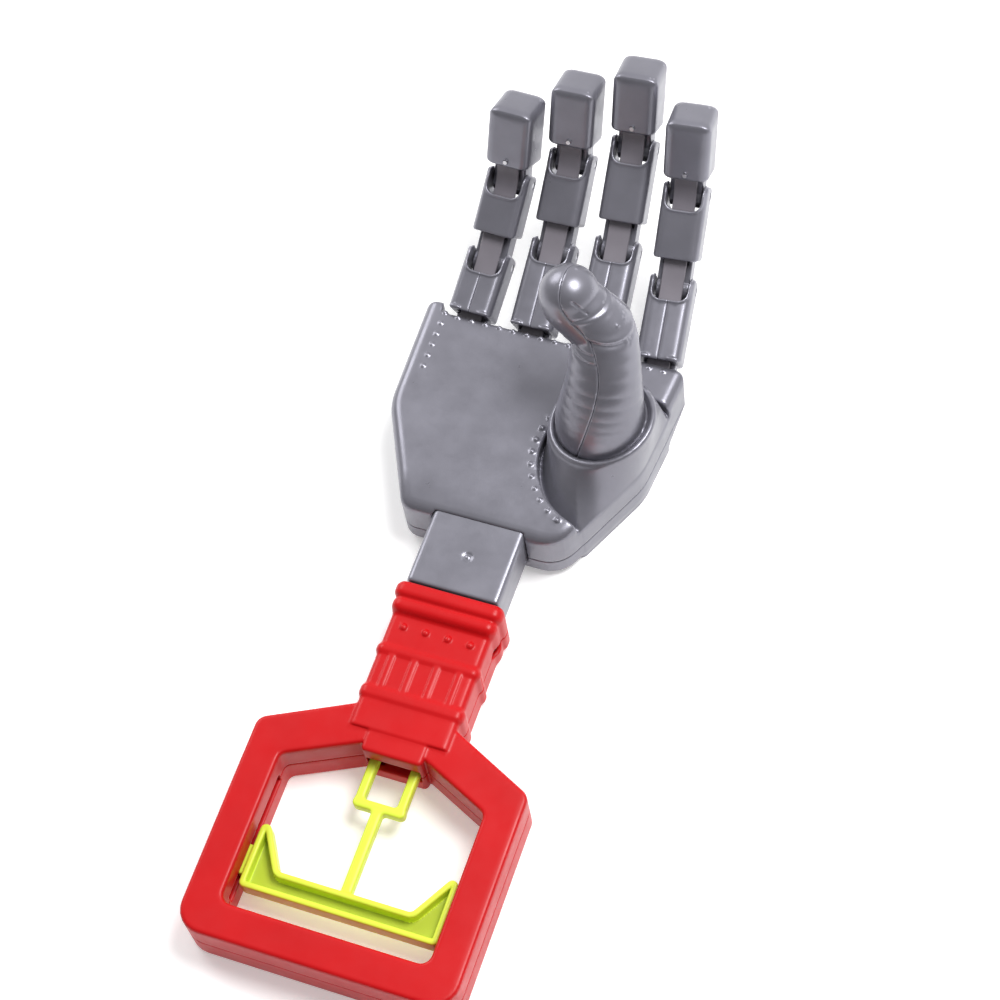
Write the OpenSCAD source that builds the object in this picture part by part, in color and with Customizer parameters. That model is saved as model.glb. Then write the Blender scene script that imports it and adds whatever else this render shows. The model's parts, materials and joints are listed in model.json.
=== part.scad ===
// Hand-operated robot hand on a short forearm, with a ring handle and a pull trigger.
// It lies on its back: +Y runs from the handle to the fingertips, +X is the thumb side and
// +Z is the palm side. Inside the modules y = 0 is the handle's lower edge; place() moves
// the whole toy so that the origin is at the bottom centre of its bounding box.

/* [Handle] */
// Outer width of the ring handle
handle_w = 64.2; // [63:0.2:66]
// Thickness of the ring handle, front to back
handle_t = 14.7; // [14.2:0.1:15.2]
// Width of the finger opening
opening_w = 48; // [47:0.2:49]
// Height of the bar under the finger opening
bottom_bar = 8.2; // [7.6:0.1:8.6]
// Height of the outer shoulders
shoulder_y = 50.8; // [50:0.2:52]
// Height where the ring meets the neck
neck_y = 60.5; // [60:0.2:61.5]
// Width of the neck
neck_w = 24; // [23.4:0.1:24.6]
// Wall of the plastic shells
wall = 1.6; // [1.4:0.1:1.8]

/* [Forearm] */
// Width of the forearm between its ribs
forearm_w = 23.8; // [23.4:0.1:24]
// Height of the forearm's open end
forearm_end = 91; // [90:0.2:92]
// Thickness of the collar at the open end
collar_t = 17.8; // [17.4:0.1:18.4]
// Width of the wrist block
wrist_w = 22.4; // [22:0.1:22.8]
// Height of the wrist block's rear face above the ground
wrist_back = 4.4; // [4:0.1:4.8]
// Height of the wrist block's front face above the ground
wrist_front = 16.2; // [15.8:0.1:16.4]

/* [Palm] */
// Half of the palm's width
palm_half = 31.2; // [30.6:0.1:31.8]
// Height of the palm's lower edge
palm_y = 109; // [108.6:0.2:109.4]
// Height of the palm's upper edge
palm_top = 160.1; // [159.6:0.1:160.2]
// Thickness of the palm
palm_t = 17.9; // [17.6:0.1:18.2]
// Height of the parting line between the palm shells
palm_split = 6.5; // [6:0.1:7]

/* [Fingers] */
// Width of a finger
finger_w = 10.8; // [10.6:0.1:11.2]
// Height of the base knuckles along the toy
knuckle_y = 156.2; // [156:0.1:156.5]
// Height of the base knuckles above the ground
knuckle_z = 12; // [11.8:0.1:12.2]
// Bend of the base knuckles as modelled
bend_base = 20.3; // [12:0.5:24]
// Bend of the middle joints as modelled
bend_mid = 14.5; // [8:0.5:18]
// Bend of the end joints as modelled
bend_end = 31; // [24:0.5:34]
// Length of an end phalanx, from its joint to the tip
distal_len = 22.2; // [21.6:0.2:22.8]
// Radius of the joint pins
pin_r = 0.9; // [0.8:0.05:1]

/* [Trigger] */
// Half of the trigger's width
trigger_half = 23.2; // [22.8:0.1:23.4]
// Thickness of the trigger
trigger_t = 5; // [4.6:0.1:5.4]
// Height of the trigger's lower edge
trigger_y = 14; // [13.8:0.1:15]

/* [Thumb] */
// Radius of the thumb's root where it sits in the socket
thumb_root_r = 10.8; // [10.6:0.1:11]
// Tilt of the socket towards the palm's centre line
socket_tilt = 12; // [10:0.5:14]

/* [Hidden] */
$fn = 64;
eps = 0.01;
running = 0.05;
gap = 0.3;
mid_z = handle_t / 2;
// the overall box's centre, from the handle's lower edge and the long axis
centre_x = 0.7;
centre_y = 110.3;

// per finger: name order is little, ring, middle, index
finger_x = [-20.8, -4.9, 11.4, 27];
finger_fan = [2.2, -1.5, -4.2, -5.8];
proximal_len = [21, 27, 31, 25.3];
middle_len = [20.3, 22.3, 24.8, 22.6];

// phalanx proportions, measured from a joint's axis
palmar = 6.2;
dorsal = 3.6;
tip_dorsal = 5.8;
tip_slant = 3;
skin = 1.2;
body_start = 7;
ear_over = 2.2;
notch_under = 4;
notch_under_back = 4.8;
hub_r = 3;
hub_w = finger_w - 2 * skin - 0.6;
strap_w = 5.4;
strap_tail_w = 2.6;
strap_t = 0.7;
strap_lift = 3.6;
strap_lift_base = 2;

fork_half = 6;
arm_w = 2.2;
arm_t = 3;
arm_top = 68;
fork_y = 39.2;
spring_y0 = 52.5;
spring_y1 = 66;

socket_c = [19.9, 139.8, 24];
socket_wall = 1.6;
socket_depth = 4;
socket_floor = 1.6;
spigot_r = 6;

screw_r = 1;
head_r = 2;
head_t = 1.4;
boss_r = 2.45;
handle_screw_at = [
  [-28, 4.2], [28, 4.2], [-28, 46], [28, 46], [-10.7, 56.2], [10.7, 56.2]
];
palm_screw_at = [[-13, 148], [3.4, 148], [-17, 115.4], [17, 115.4]];

red = [0.86, 0.10, 0.11];
silver = [0.60, 0.60, 0.64];
lime = [0.84, 0.91, 0.30];
steel = [0.72, 0.73, 0.75];
dark = [0.42, 0.42, 0.46];

// ---------- rounded outlines ----------

function unit(v) = v / norm(v);
function prev_pt(p, i) = p[(i + len(p) - 1) % len(p)];
function next_pt(p, i) = p[(i + 1) % len(p)];
function to_prev(p, i) = unit(prev_pt(p, i) - p[i]);
function to_next(p, i) = unit(next_pt(p, i) - p[i]);
function half_angle(p, i) = acos(to_prev(p, i) * to_next(p, i)) / 2;
function inward(p, i, d) = unit(to_prev(p, i) + to_next(p, i)) * d / sin(half_angle(p, i));
function shrink(p, d) = [for (i = [0:len(p) - 1]) p[i] + inward(p, i, d)];
function tangents(p, r) = [
  for (i = [0:len(p) - 1])
    each [p[i] + to_prev(p, i) * r[i] / tan(half_angle(p, i)),
          p[i] + to_next(p, i) * r[i] / tan(half_angle(p, i))]
];

// convex outline p with the corner radii r, all arcs true circles
module rounded(p, r) {
  polygon(tangents(p, r));
  for (i = [0:len(p) - 1])
    translate(p[i] + inward(p, i, r[i]))
      circle(r[i]);
}

function box_pts(x0, x1, y0, y1) = [[x0, y0], [x1, y0], [x1, y1], [x0, y1]];

// rounded rectangle in X and Z, extruded along Y
module bar_y(x_half, z0, z1, y0, y1, r) {
  translate([0, y1, 0])
    rotate([90, 0, 0])
      linear_extrude(y1 - y0)
        rounded(box_pts(-x_half, x_half, z0, z1), [r, r, r, r]);
}

// outline in Y and Z, extruded along X over the width w
module slab_x(w) {
  translate([-w / 2, 0, 0])
    rotate([90, 0, 90])
      linear_extrude(w)
        children();
}

module box(x0, x1, y0, y1, z0, z1) {
  translate([x0, y0, z0])
    cube([x1 - x0, y1 - y0, z1 - z0]);
}

module place() {
  translate([-centre_x, -centre_y, 0])
    children();
}

// ---------- handle and forearm ----------

outer_pts = [
  [-handle_w / 2, 0], [handle_w / 2, 0], [handle_w / 2, shoulder_y],
  [neck_w / 2, neck_y], [-neck_w / 2, neck_y], [-handle_w / 2, shoulder_y]
];
outer_r = [6, 6, 3, 1, 1, 3];
mouth_half = 7.4;
inner_shoulder = 43.9;
inner_top = 51.7;
inner_pts = [
  [-opening_w / 2, bottom_bar], [opening_w / 2, bottom_bar],
  [opening_w / 2, inner_shoulder], [mouth_half, inner_top],
  [-mouth_half, inner_top], [-opening_w / 2, inner_shoulder]
];
inner_r = [2.4, 2.4, 2, 1, 1, 2];

block_half = 7.2;
block_y = 49.9;
stop_half = 3.2;
band_t = 15.4;
rib_out = 0.7;
rib_ys = [[62, 65.4], [73, 75.8]];
collar_ys = [[83.6, 87.2, 0.5], [87.2, forearm_end, 0.9]];
collar_half = 12.1;
dot_pitch = 16 / 3;
forearm_bore = forearm_w / 2 - 1.3;
guide_half = 1.5;
tongue_half = wrist_w / 2 - 1.4;
tongue_back = wrist_back + 0.6;
tongue_front = band_t - wall - 0.6;

module forearm_outer() {
  bar_y(forearm_w / 2, 0, band_t, 56, forearm_end - 1, 1.6);
  for (y = rib_ys)
    bar_y(forearm_w / 2 + rib_out, 0, band_t + rib_out, y[0], y[1], 1.8);
  for (c = collar_ys)
    bar_y(collar_half + c[2], 0, collar_t - 0.9 + c[2], c[0], c[1], 2);
  for (i = [0:3])
    translate([-8 + i * dot_pitch, 80.4, band_t])
      sphere(0.9, $fn = 32);
  for (i = [0:3])
    translate([-8 + i * dot_pitch, 0, 0])
      box(-0.8, 0.8, 65, 73.5, band_t - 1, band_t + 0.4);
}

module handle_outer() {
  linear_extrude(handle_t)
    difference() {
      rounded(outer_pts, outer_r);
      rounded(inner_pts, inner_r);
    }
  // block round the mouth, a little proud of the ring's front
  translate([0, 0, 0.4])
    linear_extrude(handle_t + 0.1)
      rounded(box_pts(-block_half, block_half, block_y, 58), [1.2, 1.2, 0.5, 0.5]);
  bar_y(neck_w / 2 - 2.4, 1, handle_t + 0.5, 53.5, 62, 1.2);
  forearm_outer();
}

module handle_bosses() {
  for (p = handle_screw_at)
    translate([p[0], p[1], 1])
      cylinder(h = handle_t - 2, r = boss_r);
}

// hollow inside, less the bosses
module handle_inner() {
  difference() {
    union() {
      translate([0, 0, wall])
        linear_extrude(handle_t - 2 * wall)
          difference() {
            rounded(shrink(outer_pts, wall), [for (r = outer_r) max(r - wall, 0.4)]);
            rounded(shrink(inner_pts, -wall), [for (r = inner_r) r + wall]);
          }
      box(-forearm_bore, forearm_bore, 54, forearm_end - 6, wall, band_t - wall);
      box(-wrist_w / 2 - 0.2, wrist_w / 2 + 0.2, forearm_end - 2.4, forearm_end + 1,
          wrist_back - 0.2, wrist_front + 0.2);
      // web that clamps the wrist block's tongue
      bar_y(tongue_half + running, tongue_back - running, tongue_front + running,
            forearm_end - 7, forearm_end - 2, 1);
      // mouth for the trigger's arms
      box(-block_half + 0.9, block_half - 0.9, block_y - 1, 56, mid_z - 2.4, mid_z + 3.2);
    }
    handle_bosses();
    // seat of the return spring, between the arms
    box(-stop_half, stop_half, spring_y0 - 2, spring_y0, 1, handle_t - 1);
  }
  // guide grooves for the trigger's tabs
  box(-opening_w / 2 - wall - eps, opening_w / 2 + wall + eps, 11, 41,
      mid_z - guide_half, mid_z + guide_half);
}

module screw_holes(points, z_head, z_end) {
  for (p = points)
    translate([p[0], p[1], 0]) {
      translate([0, 0, -1])
        cylinder(h = 1 + z_head, r = head_r + 0.15);
      cylinder(h = z_end, r = screw_r);
    }
}

module screws(points, z_head, z_end) {
  for (p = points)
    translate([p[0], p[1], z_head - head_t])
      difference() {
        union() {
          cylinder(h = head_t, r = head_r);
          cylinder(h = z_end - z_head + head_t, r = screw_r);
        }
        box(-1.3, 1.3, -0.25, 0.25, -1, 0.6);
        box(-0.25, 0.25, -1.3, 1.3, -1, 0.6);
      }
}

screw_head_z = 2.2;
handle_screw_end = 12;

module handle_half(front) {
  difference() {
    intersection() {
      handle_outer();
      if (front)
        box(-40, 40, -1, forearm_end + 1, mid_z, 30);
      else
        box(-40, 40, -1, forearm_end + 1, -1, mid_z);
    }
    handle_inner();
    screw_holes(handle_screw_at, screw_head_z, handle_screw_end);
    // parting slot at the side of the collar
    for (s = [-1, 1])
      translate([s * 13.4, 84.5, mid_z])
        rotate([0, 90, 0])
          cylinder(h = 3.2, r = 1.5, center = true);
  }
}

module handle_front_shell() {
  color(red)
    place()
      handle_half(true);
}

module handle_back_shell() {
  color(red)
    place()
      handle_half(false);
}

module handle_screws() {
  color(steel)
    place()
      screws(handle_screw_at, screw_head_z, handle_screw_end);
}

// ---------- trigger, slider and spring ----------

wing_top = trigger_y + 18.6;
wing_foot = 11;
saddle_y = trigger_y + 5.6;
rim = 1.4;
tray_z = mid_z - trigger_t / 2;
floor_t = 1.8;

module mirrored_x() {
  children();
  mirror([1, 0, 0])
    children();
}

// finger bar with a wing at each end, inset by d
module tray_outline(d) {
  bar = box_pts(-trigger_half, trigger_half, trigger_y, saddle_y);
  wing = [[trigger_half - wing_foot, trigger_y], [trigger_half, trigger_y], [trigger_half, wing_top]];
  rounded(shrink(bar, d), [for (i = [0:3]) max(1.2 - d, 0.3)]);
  mirrored_x()
    rounded(shrink(wing, d), [0.3, max(1.2 - d, 0.3), max(1.5 - d, 0.4)]);
}

module trigger() {
  color(lime)
    place() {
      difference() {
        translate([0, 0, tray_z])
          linear_extrude(trigger_t)
            tray_outline(0);
        translate([0, 0, tray_z + floor_t])
          linear_extrude(trigger_t)
            tray_outline(rim);
      }
      mirrored_x()
        box(trigger_half - 1, trigger_half + 1.4, trigger_y + 3, trigger_y + 10,
            mid_z - 1.2, mid_z + 1.2);
      box(-1.3, 1.3, saddle_y - 1, fork_y + 1, mid_z - arm_t / 2, mid_z + arm_t / 2);
      box(-fork_half, fork_half, fork_y, fork_y + arm_w, mid_z - arm_t / 2, mid_z + arm_t / 2);
      mirrored_x()
        box(fork_half - arm_w, fork_half, fork_y, arm_top, mid_z - arm_t / 2,
            mid_z + arm_t / 2);
    }
}

slider_t = 2.4;
slider_z = 8.6;
cross_y = 124;
tine_end = 144.5;
tine_w = 2;
// distance from a tine's tip to its bend
tine_straight = 4;

// round joints stand a little proud of the links that meet in them
joint_proud = 0.06;

// straight flat link between two points of the slider
module link(a, b, w) {
  d = b - a;
  translate([a[0], a[1], slider_z])
    rotate([0, 0, atan2(d[1], d[0])])
      translate([0, -w / 2, 0])
        cube([norm(d), w, slider_t]);
  for (p = [a, b])
    translate([p[0], p[1], slider_z])
      cylinder(h = slider_t, r = w / 2 + joint_proud);
}

function tine_x(i) = finger_x[i] - (knuckle_y - tine_end) * tan(finger_fan[i]);

module draw_slider() {
  color(dark)
    place() {
      // yoke that grips the trigger's two arms
      difference() {
        box(-fork_half - 1.4, fork_half + 1.4, spring_y1, arm_top + 3, mid_z - 2.6, slider_z + slider_t);
        mirrored_x()
          box(fork_half - arm_w, fork_half, spring_y1 - 1, arm_top, mid_z - arm_t / 2,
              mid_z + arm_t / 2);
      }
      box(-5, 5, arm_top, cross_y + 2, slider_z, slider_z + slider_t);
      link([-18.6, cross_y + 2.5], [19.2, cross_y + 2.5], 4);
      for (i = [0:3]) {
        foot = min(max(tine_x(i), -19), 19);
        link([foot, cross_y + 3], [tine_x(i), tine_end - tine_straight], tine_w);
        link([tine_x(i), tine_end - tine_straight], [tine_x(i), tine_end - tine_w / 2], tine_w);
      }
    }
}

wire_r = 0.45;
coil_r = 2.4;
coil_turns = 7;
coil_steps = 20;
wire_sides = 8;

module return_spring() {
  n = coil_turns * coil_steps;
  length = spring_y1 - spring_y0 - 2 * wire_r - 0.1;
  pts = [
    for (i = [0:n], k = [0:wire_sides - 1])
      let (t = 360 * i / coil_steps, u = 360 * k / wire_sides,
           r = coil_r + wire_r * cos(u))
      [r * cos(t), length * i / n + wire_r * sin(u), r * sin(t)]
  ];
  sides = [
    for (i = [0:n - 1], k = [0:wire_sides - 1])
      let (k2 = (k + 1) % wire_sides, a = i * wire_sides, b = a + wire_sides)
      [a + k, b + k, b + k2, a + k2]
  ];
  cap0 = [for (k = [0:wire_sides - 1]) k];
  cap1 = [for (k = [0:wire_sides - 1]) n * wire_sides + wire_sides - 1 - k];
  color(steel)
    place()
      translate([0, spring_y0 + wire_r + 0.05, mid_z])
        polyhedron(points = pts, faces = concat([cap0, cap1], sides));
}

// ---------- wrist and palm ----------

flange_y = palm_y + wall + 0.2;

module wrist_block() {
  color(silver)
    place()
      difference() {
        union() {
          bar_y(wrist_w / 2, wrist_back, wrist_front, forearm_end - 2, flange_y + 3, 1.6);
          bar_y(tongue_half, tongue_back, tongue_front, 79, forearm_end - 1, 1);
          bar_y(tongue_half + 0.5, tongue_back - 0.5, tongue_front + 0.3, 79, 84.5, 1);
          bar_y(wrist_w / 2 + 1.8, wrist_back, wrist_front - 2, flange_y, flange_y + 3, 1);
        }
        bar_y(wrist_w / 2 - 2.8, slider_z - 1.8, slider_z + slider_t + 1.2, 70, 130, 0.8);
        translate([0, 100.9, wrist_front + 2.4])
          sphere(2.8);
      }
}

palm_corner_y = palm_y + 25;
palm_foot = 19.1;
index_bulge = 2;
palm_pts = [
  [-palm_foot, palm_y], [palm_foot, palm_y], [palm_half, palm_corner_y],
  [palm_half + index_bulge, palm_top], [-palm_half, palm_top], [-palm_half, palm_corner_y]
];
palm_r = [4, 8, 16, 2.4, 2.4, 16];
// side view: the back falls away towards the knuckles, the front edges are rounded
palm_side = [
  [palm_y, 0], [palm_top - 12, 0], [palm_top, 4.2], [palm_top, palm_t], [palm_y, palm_t]
];
palm_side_r = [3.4, 6, 1.5, 0.8, 4];

module palm_outer() {
  intersection() {
    linear_extrude(palm_t)
      rounded(palm_pts, palm_r);
    slab_x(90)
      rounded(palm_side, palm_side_r);
  }
}

// frame of the thumb's socket: +Z leaves the ring
module socket_frame() {
  translate(socket_c)
    rotate([0, -socket_tilt, 0])
      children();
}

module socket_mass(d) {
  hull() {
    socket_frame()
      translate([0, 0, -1.2 - d])
        cylinder(h = 1.2, r = thumb_root_r + socket_wall - d + 0.4, $fn = 48);
    translate([0, 0, palm_split + d])
      linear_extrude(1)
        intersection() {
          rounded(shrink(palm_pts, d + 0.3), [for (r = palm_r) max(r - d, 1)]);
          translate([21, 130])
            circle(17.5 - d, $fn = 48);
        }
  }
}

module knuckle_webs() {
  for (i = [0:3])
    translate([finger_x[i], knuckle_y, 0])
      rotate([0, 0, -finger_fan[i]])
        for (s = [-1, 1])
          box(s * (hub_w / 2 + 1.1) - 0.8, s * (hub_w / 2 + 1.1) + 0.8, -5, 3.4,
              knuckle_z - 2.6, palm_t - 1);
}

module palm_bosses() {
  for (p = palm_screw_at)
    translate([p[0], p[1], 1])
      cylinder(h = palm_t - 2, r = boss_r);
}

module palm_inner() {
  difference() {
    union() {
      intersection() {
        translate([0, 0, -1])
          linear_extrude(palm_t + 2)
            rounded(shrink(palm_pts, wall), [for (r = palm_r) max(r - wall, 1)]);
        slab_x(90)
          rounded(shrink(palm_side, wall), [for (r = palm_side_r) max(r - wall, 0.4)]);
      }
      socket_mass(wall);
    }
    palm_bosses();
    knuckle_webs();
    socket_frame()
      translate([0, 0, -socket_depth - socket_floor])
        cylinder(h = socket_floor, r = thumb_root_r + 3);
  }
}

module finger_slots() {
  for (i = [0:3])
    translate([finger_x[i], knuckle_y, 0])
      rotate([0, 0, -finger_fan[i]]) {
        box(-hub_w / 2 - gap, hub_w / 2 + gap, 1, 6, knuckle_z - hub_r - 0.4,
            palm_t - 1.1);
        translate([0, 0, knuckle_z])
          rotate([0, 90, 0]) {
            cylinder(h = knuckle_pin_l + 0.2, r = pin_r, center = true);
            cylinder(h = hub_w + 2 * gap - 0.1, r = hub_r + gap, center = true);
          }
      }
}

module palm_half_shell(front) {
  difference() {
    union() {
      intersection() {
        union() {
          palm_outer();
          socket_mass(0);
        }
        if (front)
          box(-50, 50, 100, 170, palm_split, 60);
        else
          box(-50, 50, 100, 170, -1, palm_split);
      }
    }
    palm_inner();
    // open end for the wrist block
    box(-wrist_w / 2 - 0.15, wrist_w / 2 + 0.15, palm_y - 1, palm_y + wall + 3.6,
        wrist_back - 0.15, wrist_front + 0.15);
    finger_slots();
    screw_holes(palm_screw_at, screw_head_z, palm_screw_end);
    // socket bore and the smaller bore in its floor
    socket_frame()
      translate([0, 0, -socket_depth])
        cylinder(h = 10, r = thumb_root_r + running);
    socket_frame()
      translate([0, 0, -12])
        cylinder(h = 10, r = spigot_r + running);
  }
}

palm_screw_end = 14.6;
knuckle_pin_l = hub_w + 2.8;

module palm_front_shell() {
  color(silver)
    place()
      palm_half_shell(true);
}

module palm_back_shell() {
  color(silver)
    place()
      palm_half_shell(false);
}

module palm_screws() {
  color(steel)
    place()
      screws(palm_screw_at, screw_head_z, palm_screw_end);
}

module knuckle_pins() {
  color(steel)
    place()
      for (i = [0:3])
        translate([finger_x[i], knuckle_y, knuckle_z])
          rotate([0, 90, -finger_fan[i]])
            cylinder(h = knuckle_pin_l, r = pin_r, center = true);
}

// ---------- thumb ----------

retainer_t = 1.8;
// the spigot's end, a little below the socket's floor
retainer_z = -socket_depth - socket_floor - 0.1;

// centre line of the thumb in the socket's frame and its radii, root to tip
thumb_path = [
  [0.2, 0.4, 2], [2.2, 4.3, 10.7], [2.5, 10.5, 19.9], [-3.3, 12.4, 28], [-3.8, 13, 30.4]
];
thumb_radii = [10.2, 8.7, 7.4, 7, 6.9];

module thumb_chain(from, cut) {
  for (i = [from:len(thumb_path) - 2])
    hull() {
      translate(thumb_path[i])
        sphere(thumb_radii[i] - cut, $fn = 36);
      translate(thumb_path[i + 1])
        sphere(thumb_radii[i + 1] - cut, $fn = 36);
    }
}

module thumb_outer() {
  intersection() {
    thumb_chain(0, 0);
    translate([-40, -40, 0.6])
      cube([80, 80, 60]);
  }
  translate([0, 0, -socket_depth + 0.1])
    cylinder(h = socket_depth + 0.7, r = thumb_root_r);
  translate([0, 0, retainer_z])
    cylinder(h = 4, r = spigot_r);
  translate([0, 0, 0.6])
    cylinder(h = 5, r1 = thumb_root_r, r2 = 9.6);
}

module thumb_cavity() {
  thumb_chain(1, 1.8);
  translate([0, 0, 2])
    cylinder(h = 3.5, r = 7);
}

module thumb_half(side) {
  color(silver)
    place()
      socket_frame()
        intersection() {
          difference() {
            thumb_outer();
            thumb_cavity();
            translate([0, 0, -10])
              cylinder(h = 13, r = screw_r);
          }
          if (side < 0)
            box(-40, 0, -40, 40, -20, 60);
          else
            box(0, 40, -40, 40, -20, 60);
        }
}

module thumb_inner_half() {
  thumb_half(-1);
}

module thumb_outer_half() {
  thumb_half(1);
}

module thumb_retainer() {
  color(silver)
    place()
      socket_frame()
        translate([0, 0, retainer_z - retainer_t])
          difference() {
            cylinder(h = retainer_t, r = spigot_r + 2.5);
            translate([0, 0, -1])
              cylinder(h = 5, r = screw_r);
          }
}

module thumb_screw() {
  color(steel)
    place()
      socket_frame()
        translate([0, 0, retainer_z - retainer_t - head_t])
          difference() {
            union() {
              cylinder(h = head_t, r = head_r);
              cylinder(h = head_t + retainer_t - retainer_z + 1.6, r = screw_r);
            }
            box(-1.3, 1.3, -0.25, 0.25, -1, 0.6);
            box(-0.25, 0.25, -1.3, 1.3, -1, 0.6);
          }
}

// ---------- fingers ----------

// frames of the three joints of finger i: +Y along the phalanx, +Z on the palm side
module at_base(i) {
  translate([finger_x[i], knuckle_y, knuckle_z])
    rotate([0, 0, -finger_fan[i]])
      rotate([bend_base, 0, 0])
        children();
}

module at_mid(i) {
  at_base(i)
    translate([0, proximal_len[i], 0])
      rotate([bend_mid, 0, 0])
        children();
}

module at_end(i) {
  at_mid(i)
    translate([0, middle_len[i], 0])
      rotate([bend_end, 0, 0])
        children();
}

// solid of a phalanx between two heights, with ends rounded in side view;
// slant lengthens its back towards the joint
module phalanx_block(y0, y1, r_end, d, back = dorsal, slant = 0) {
  side = [[y0 - slant, -back + d], [y1, -back + d], [y1, palmar - d], [y0, palmar - d]];
  intersection() {
    bar_y(finger_w / 2 - d, -back + d, palmar - d, y0 - slant - 1, y1 + 1, 2.2 - 0.8 * d);
    slab_x(finger_w)
      rounded(side, [0.6, r_end, r_end, 0.6]);
  }
}

// lower joint: neck and hub on the pin, with the strap passing over it
module hub(low_top) {
  difference() {
    union() {
      rotate([0, 90, 0])
        cylinder(h = hub_w, r = hub_r, center = true);
      box(-hub_w / 2, hub_w / 2, 0, body_start + 0.5, -hub_r, low_top ? 1 : hub_r - 0.6);
    }
    rotate([0, 90, 0])
      cylinder(h = finger_w, r = pin_r + running, center = true);
    if (low_top)
      box(-strap_w / 2 - 0.25, strap_w / 2 + 0.25, -4, 10, 1.3, 4);
  }
}

module strap_slot(y) {
  box(-strap_w / 2 - 0.3, strap_w / 2 + 0.3, y - 1, y + 3, 1.4, palmar - skin);
}

// open tube with a U notch on both faces and an ear on each side for the next pin
module open_phalanx(length, low_top) {
  top = length + ear_over;
  difference() {
    union() {
      phalanx_block(body_start, top, 3.6, 0);
      hub(low_top);
    }
    difference() {
      phalanx_block(body_start + skin, top + 6, 0.5, skin);
      box(-6, 6, 0, body_start + skin, -8, 8);
    }
    for (n = [[palmar - 3, notch_under], [-dorsal - 1, notch_under_back]])
      translate([0, 0, n[0]])
        linear_extrude(4)
          rounded(box_pts(-finger_w / 2 + skin, finger_w / 2 - skin,
                          length - n[1], top + 4), [2, 2, 0.5, 0.5]);
    strap_slot(body_start);
    translate([0, length, 0])
      rotate([0, 90, 0])
        cylinder(h = finger_w + 2, r = pin_r, center = true);
  }
}

module proximal_half(i, side) {
  color(silver)
    place()
      at_base(i)
        intersection() {
          open_phalanx(proximal_len[i], true);
          if (side < 0)
            box(-10, 0, -10, 50, -10, 10);
          else
            box(0, 10, -10, 50, -10, 10);
        }
}

module middle_phalanx(i) {
  color(silver)
    place()
      at_mid(i)
        open_phalanx(middle_len[i], false);
}

peg_y = body_start + 1.5;
peg_r = 0.5;

module distal_phalanx(i) {
  color(silver)
    place()
      at_end(i)
        difference() {
          union() {
            phalanx_block(body_start, distal_len, 2.8, 0, tip_dorsal, tip_slant);
            hub(false);
          }
          phalanx_block(body_start + skin, distal_len - skin, 1.6, skin, tip_dorsal, tip_slant);
          strap_slot(body_start);
          translate([0, peg_y, 0])
            cylinder(h = 20, r = peg_r);
        }
}

module joint_pin() {
  rotate([0, 90, 0])
    cylinder(h = finger_w - 0.3, r = pin_r, center = true);
}

module mid_pin(i) {
  color(steel)
    place()
      at_mid(i)
        joint_pin();
}

module end_pin(i) {
  color(steel)
    place()
      at_end(i)
        joint_pin();
}

module strap_peg(i) {
  color(steel)
    place()
      at_end(i)
        translate([0, peg_y, strap_lift + strap_t / 2])
          cylinder(h = palmar + 0.3 - strap_lift - strap_t / 2, r = peg_r);
}

// height of the point at distance y along a phalanx, in the toy's side view
function dir2(a) = [cos(a), sin(a)];
function nrm2(a) = [-sin(a), cos(a)];
function joint_pts(i) =
  let (a1 = bend_base, a2 = a1 + bend_mid, a3 = a2 + bend_end,
       j2 = dir2(a1) * proximal_len[i], j3 = j2 + dir2(a2) * middle_len[i])
  [[0, 0], j2, j3, a1, a2, a3];
function strap_pts(i) =
  let (j = joint_pts(i))
  [[tine_end - knuckle_y - 2, slider_z + slider_t + strap_t / 2 - knuckle_z],
   [-3.4, strap_lift_base - 0.3],
   nrm2(j[3] / 2) * strap_lift_base,
   j[1] + nrm2((j[3] + j[4]) / 2) * strap_lift,
   j[2] + nrm2((j[4] + j[5]) / 2) * strap_lift,
   j[2] + dir2(j[5]) * (body_start + 4.5) + nrm2(j[5]) * strap_lift];

// side view of the strap from point a to point b, with a round joint at each bend after the first
module strap_run(p, a, b) {
  for (k = [a:b - 1])
    translate(p[k]) {
      rotate(atan2(p[k + 1][1] - p[k][1], p[k + 1][0] - p[k][0]))
        translate([0, -strap_t / 2])
          square([norm(p[k + 1] - p[k]), strap_t]);
      if (k > 0)
        circle(strap_t / 2 + joint_proud);
    }
}

module strap(i) {
  p = strap_pts(i);
  color(dark)
    place()
      translate([finger_x[i], knuckle_y, knuckle_z])
        rotate([0, 0, -finger_fan[i]]) {
          // narrow tail on the slider's tine, inside the palm
          slab_x(strap_tail_w)
            strap_run(p, 0, 1);
          slab_x(strap_w)
            strap_run(p, 1, len(p) - 1);
        }
}

module little_proximal_left() { proximal_half(0, -1); }
module little_proximal_right() { proximal_half(0, 1); }
module little_middle_pin() { mid_pin(0); }
module little_middle() { middle_phalanx(0); }
module little_end_pin() { end_pin(0); }
module little_distal() { distal_phalanx(0); }
module little_peg() { strap_peg(0); }
module little_strap() { strap(0); }
module ring_proximal_left() { proximal_half(1, -1); }
module ring_proximal_right() { proximal_half(1, 1); }
module ring_middle_pin() { mid_pin(1); }
module ring_middle() { middle_phalanx(1); }
module ring_end_pin() { end_pin(1); }
module ring_distal() { distal_phalanx(1); }
module ring_peg() { strap_peg(1); }
module ring_strap() { strap(1); }
module middle_proximal_left() { proximal_half(2, -1); }
module middle_proximal_right() { proximal_half(2, 1); }
module middle_middle_pin() { mid_pin(2); }
module middle_middle() { middle_phalanx(2); }
module middle_end_pin() { end_pin(2); }
module middle_distal() { distal_phalanx(2); }
module middle_peg() { strap_peg(2); }
module middle_strap() { strap(2); }
module index_proximal_left() { proximal_half(3, -1); }
module index_proximal_right() { proximal_half(3, 1); }
module index_middle_pin() { mid_pin(3); }
module index_middle() { middle_phalanx(3); }
module index_end_pin() { end_pin(3); }
module index_distal() { distal_phalanx(3); }
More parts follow.
